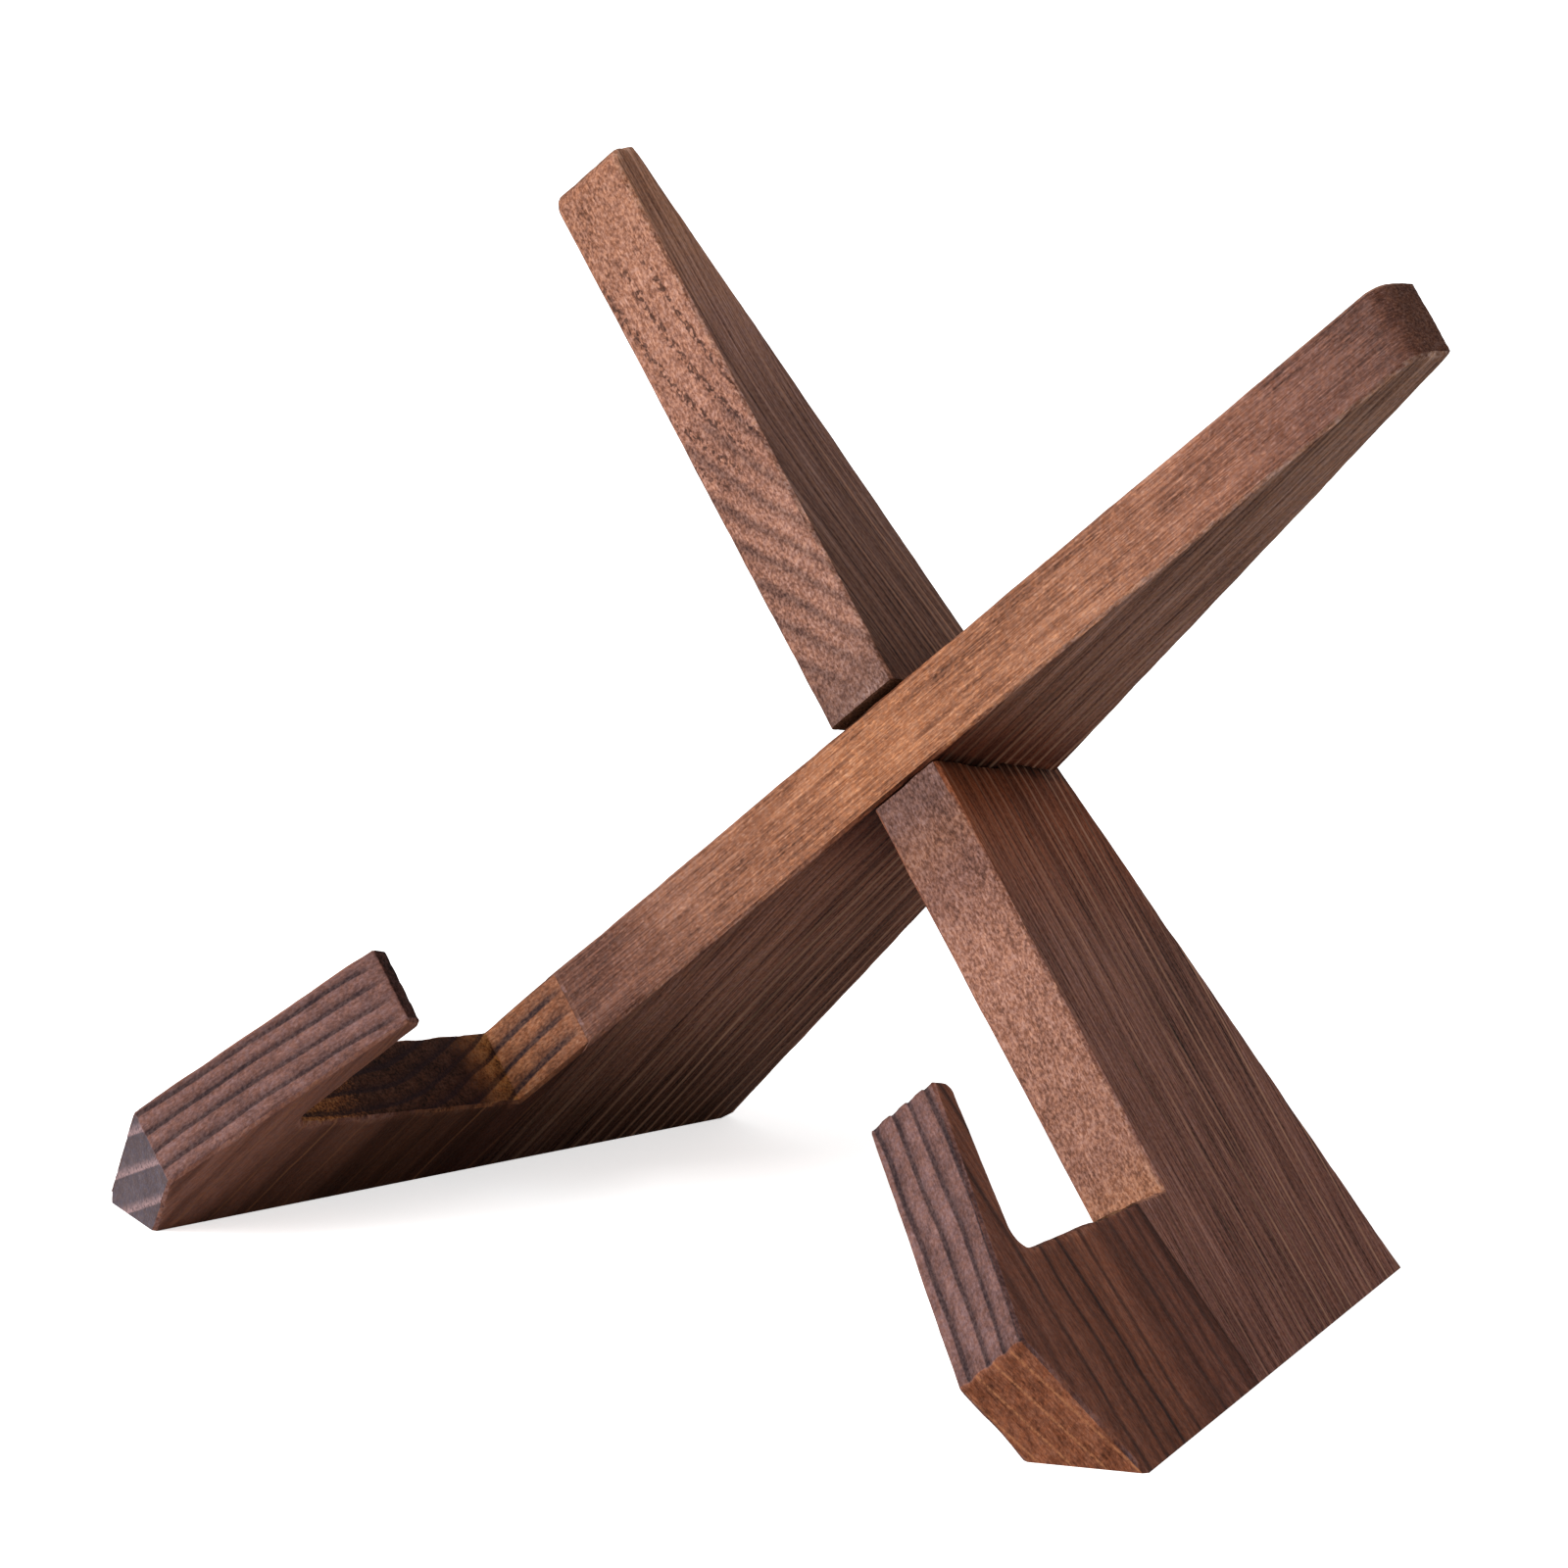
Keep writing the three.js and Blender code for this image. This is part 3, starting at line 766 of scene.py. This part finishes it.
def toned_stain(tree, wood, stain, light):
    """The stain on the uneven wood, redder where it is thick, with cool and golden flecks."""
    limited = add(tree, MATH, [light, DARKEST], operation="MAXIMUM")
    shares = [limited]
    for powers in (GREEN_POWERS, BLUE_POWERS):
        thick, thin = (add(tree, MATH, [limited, power], operation="POWER") for power in powers)
        shares.append(add(tree, MATH, [thick, thin], operation="MAXIMUM"))
    toning = add(tree, "ShaderNodeCombineColor", shares)
    flecks = add(tree, RANGE, [mark(tree, wood.place, "flecks"), *SPANS["flecks"]], **SMOOTH)
    tint = add(tree, MIX, [flecks, *stain["flecks"]], data_type="RGBA")
    result = stain_by_face(tree, wood, stain)
    for layer in (tint, toning):
        result = add(tree, MIX, [1.0, result, layer], data_type="RGBA", blend_type="MULTIPLY")
    return result


def dark_rings(tree, wood, stain):
    """Rings that took the stain dark: a soft shade that deepens to a dark line and ends sharply."""
    part = add(tree, MATH, [wood.rings], operation="FRACT")
    shade_from, line_from, line_to, shade_to = stain["stripe_shape"]
    before, after = STRIPE_SOFTNESS
    shade = add(tree, RANGE, [part, shade_from, line_from, 0.0, 0.5], **SMOOTH)
    line = add(tree, RANGE, [part, line_from - before, line_from + after, 0.0, 0.5], **SMOOTH)
    deepened = add(tree, MATH, [shade, line], operation="ADD")
    ended = add(tree, RANGE, [part, line_to, shade_to, 1.0, 0.0], **SMOOTH)
    speckled = add(tree, RANGE, [wood.speckle, *SPANS["speckle in stripes"]], **SMOOTH)
    patchy = add(tree, RANGE, [wood.patches, *SPANS["patches in stripes"]], **SMOOTH)
    strength = add(tree, MIX, [wood.faces["side"], *stain["stripes"]], data_type="FLOAT")
    low, high = stain["stripes_span"]
    above = add(tree, RANGE, [wood.along, low, low + STRIPES_BEGIN], **SMOOTH)
    below = add(tree, RANGE, [wood.along, high - STRIPES_END, high, 1.0, 0.0], **SMOOTH)
    return product(tree, deepened, ended, speckled, patchy, strength, wood.off_toe, above, below)


def stained_pine(side, stave):
    """Pine with a walnut-brown stain, sanded by hand and left without varnish.

    The soft early wood drinks the stain and looks dark and speckled, the hard rings stay paler or show as
    dark lines, rubbed arrises are tan under a painted highlight, and the surface is dull, with a faint sheen
    where it is smooth.
    """
    name = f"{side}_{stave}"
    stain = STAIN[name]
    material = bpy.data.materials.new(f"stained_pine_{name}")
    material.use_nodes = True
    tree = material.node_tree
    tree.nodes.clear()
    wood = wood_at(tree, side, GRAIN[name])

    light = uneven_tone(tree, wood, stain)
    light = soaked_by_glue(tree, wood, side, light)
    if stave == "spine":
        light = torn_and_shaded_at_slot(tree, wood, side, light)
    if name == "right_spine":
        light = open_pores(tree, wood, light)
    light = sanded_and_highlit(tree, wood, stain, light)
    toned = toned_stain(tree, wood, stain, light)

    # Lines, dark rings and the toe's ridges lie over the toned stain
    ridge = toe_ridge(tree, side, wood.along, wood.across)
    broken = add(tree, RANGE, [wood.speckle, *SPANS["speckle on ridges"]], **SMOOTH)
    for share, text in (
        (side_lines(tree, wood, stain, stave), stain["lines"][1]),
        (dark_rings(tree, wood, stain), DARK_RING),
        (product(tree, ridge, wood.faces["toe"], broken), TOE_RIDGES[side]["colour"]),
    ):
        toned = add(tree, MIX, [share, toned, colour(text)], data_type="RGBA")

    height = add(tree, MIX, [0.5, wood.fibres, wood.speckle], data_type="FLOAT")
    bump = add(tree, "ShaderNodeBump", {"Height": height, "Strength": 0.5, "Distance": 0.5 * METRES})
    sheen = add(tree, RANGE, [wood.speckle, *SPANS["sheen"]], **SMOOTH)
    shader = add(tree, "ShaderNodeBsdfPrincipled", {
        "Base Color": toned, "Roughness": sheen, "IOR": 1.45, "Specular IOR Level": 0.2, "Normal": bump})
    add(tree, "ShaderNodeOutputMaterial", {"Surface": shader})
    return material


# The stage, in metres and watts. The floor's tint lights the stand from below, and its colour and glow
# are what the camera sees, so that it shows white where light reaches it and keeps the stand's shadow.
FLOOR_HALF_SIZE = 4.0
FLOOR_TINT, FLOOR_SEEN, FLOOR_GLOW = "#bcbcbc", "#f0f0f0", 0.63
SKY_LIGHT, SKY_SEEN = 0.33, 1.0
SOFTBOX = {"place": (-1.5, -2.0, 0.9), "size": 1.6, "power": 60.0, "aim": (0.0, 0.0, 0.1)}
# The camera's film and lens in millimetres, then its place and the ways that the picture's right, its
# foot and its depth run
FILM_WIDTH, LENS = 36.0, 275.16
NEAREST, FARTHEST = 0.1, 50.0
CAMERA_PLACE = Vector((1.565219, -2.015414, 0.79876))
CAMERA_RIGHT = Vector((0.78739952, 0.61635718, 0.01028656))
CAMERA_DOWN = Vector((0.16829331, -0.19888266, -0.9654652))
CAMERA_AHEAD = Vector((-0.59302559, 0.761938, -0.2603289))


def pale_floor():
    """A matt floor that the camera sees brighter than it lights the stand."""
    mesh = bpy.data.meshes.new("floor")
    corners = [(x * FLOOR_HALF_SIZE, y * FLOOR_HALF_SIZE, 0) for x, y in ((-1, -1), (1, -1), (1, 1), (-1, 1))]
    mesh.from_pydata(corners, [], [(0, 1, 2, 3)])
    floor = bpy.data.objects.new("floor", mesh)
    bpy.context.scene.collection.objects.link(floor)
    material = bpy.data.materials.new("pale_floor")
    material.use_nodes = True
    tree = material.node_tree
    tree.nodes.clear()
    seen = add(tree, "ShaderNodeLightPath").outputs["Is Camera Ray"]
    tint = add(tree, MIX, [seen, colour(FLOOR_TINT), colour(FLOOR_SEEN)], data_type="RGBA")
    lift = add(tree, MIX, [seen, colour("#000000"), colour(FLOOR_SEEN)], data_type="RGBA")
    tinted = add(tree, "ShaderNodeBsdfDiffuse", {"Color": tint})
    lifted = add(tree, "ShaderNodeBsdfDiffuse", {"Color": lift})
    matt = add(tree, "ShaderNodeAddShader", [tinted, lifted])
    strength = add(tree, MATH, [seen, FLOOR_GLOW], operation="MULTIPLY")
    glow = add(tree, "ShaderNodeEmission", {"Color": colour("#ffffff"), "Strength": strength})
    both = add(tree, "ShaderNodeAddShader", [matt, glow])
    add(tree, "ShaderNodeOutputMaterial", {"Surface": both})
    mesh.materials.append(material)


def front_softbox():
    """A square soft box at the left front, aimed at the stand."""
    light = bpy.data.lights.new("front_softbox", "AREA")
    light.shape = "SQUARE"
    light.size = SOFTBOX["size"]
    light.energy = SOFTBOX["power"]
    lamp = bpy.data.objects.new("front_softbox", light)
    lamp.location = SOFTBOX["place"]
    aim = Vector(SOFTBOX["aim"]) - Vector(SOFTBOX["place"])
    lamp.rotation_euler = aim.to_track_quat("-Z", "Y").to_euler()
    bpy.context.scene.collection.objects.link(lamp)


def white_studio():
    """An even white surround, which the camera sees brighter than it lights the stand."""
    world = bpy.data.worlds.new("studio")
    bpy.context.scene.world = world
    world.use_nodes = True
    tree = world.node_tree
    tree.nodes.clear()
    seen = add(tree, "ShaderNodeLightPath").outputs["Is Camera Ray"]
    strength = add(tree, MIX, [seen, SKY_LIGHT, SKY_SEEN], data_type="FLOAT")
    sky = add(tree, "ShaderNodeBackground", {"Color": colour("#ffffff"), "Strength": strength})
    add(tree, "ShaderNodeOutputWorld", {"Surface": sky})


def photograph_camera():
    """A long lens from the right front, a little above the stand."""
    data = bpy.data.cameras.new("camera")
    data.sensor_width = FILM_WIDTH
    data.lens = LENS
    data.clip_start, data.clip_end = NEAREST, FARTHEST
    camera = bpy.data.objects.new("camera", data)
    turned = Matrix((CAMERA_RIGHT, -CAMERA_DOWN, -CAMERA_AHEAD)).transposed().to_4x4()
    camera.matrix_world = Matrix.Translation(CAMERA_PLACE) @ turned
    bpy.context.scene.collection.objects.link(camera)
    bpy.context.scene.camera = camera


for side in ("left", "right"):
    for stave in ("spine", "hook"):
        dressed_stave(side, stave, stained_pine(side, stave))
pale_floor()
front_softbox()
white_studio()
photograph_camera()
bpy.context.scene.view_settings.view_transform = "Standard"
